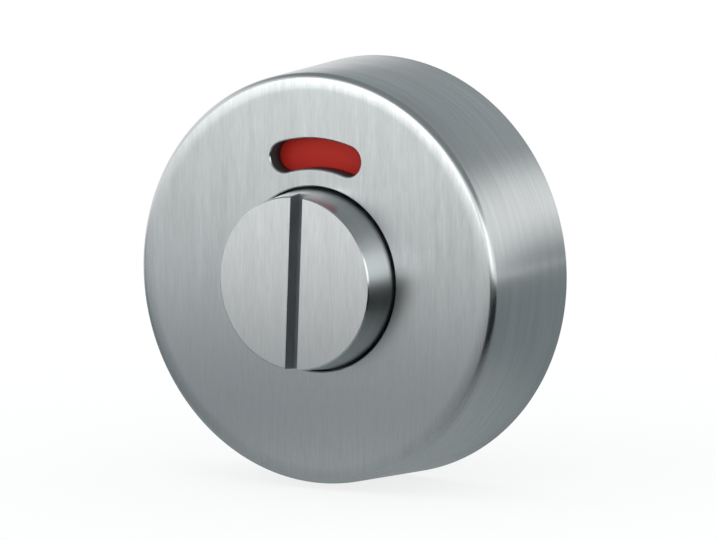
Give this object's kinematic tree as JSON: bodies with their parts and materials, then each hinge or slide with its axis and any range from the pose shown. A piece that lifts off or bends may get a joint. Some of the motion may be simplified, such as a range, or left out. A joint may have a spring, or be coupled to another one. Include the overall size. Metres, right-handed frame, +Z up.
{
  "type": "bathroom lock indicator rose with coin release",
  "caption": "Deep round steel rose with a coin-slot release knob, a curved window showing a red or green field, and a square spindle behind.",
  "frame": {"origin": "centre of the rose on the plane where it meets the door", "axes": "+Y into the door along the spindle, -Y out of the face, +Z up through the indicator window, +X to the right as seen from the front"},
  "size_m": [0.052, 0.0515, 0.052],
  "materials": {
    "satin_steel": "satin brushed stainless steel",
    "black_nylon": "moulded glass-filled nylon",
    "white_acetal": "moulded acetal",
    "spring_steel": "oiled spring steel",
    "plated_steel": "zinc plated steel",
    "insert_brass": "plain turned brass",
    "screw_steel": "plain stainless steel",
    "grey_plastic": "moulded plastic",
    "red_plastic": "matt red plastic",
    "green_plastic": "matt green plastic"
  },
  "bodies": {
    "rose": {"rose_cover": "satin_steel", "window_frame": "black_nylon", "carrier": "black_nylon", "bearing_bush": "white_acetal", "wave_washer": "spring_steel", "fixing_insert_left": "insert_brass", "fixing_insert_right": "insert_brass", "cover_insert": "insert_brass", "cover_screw": "screw_steel"},
    "turn": {"release_turn": "satin_steel", "indicator_disc": "grey_plastic", "occupied_field": "red_plastic", "vacant_field": "green_plastic", "retaining_ring": "spring_steel", "thrust_washer": "plated_steel", "spindle": "plated_steel", "spindle_pin": "spring_steel"}
  },
  "joints": [
    {"name": "turn_rotation", "type": "hinge", "parent": "rose", "child": "turn", "pos_m": [0, 0, 0], "axis": [0, -1, 0], "range_deg": [0, 90]}
  ]
}
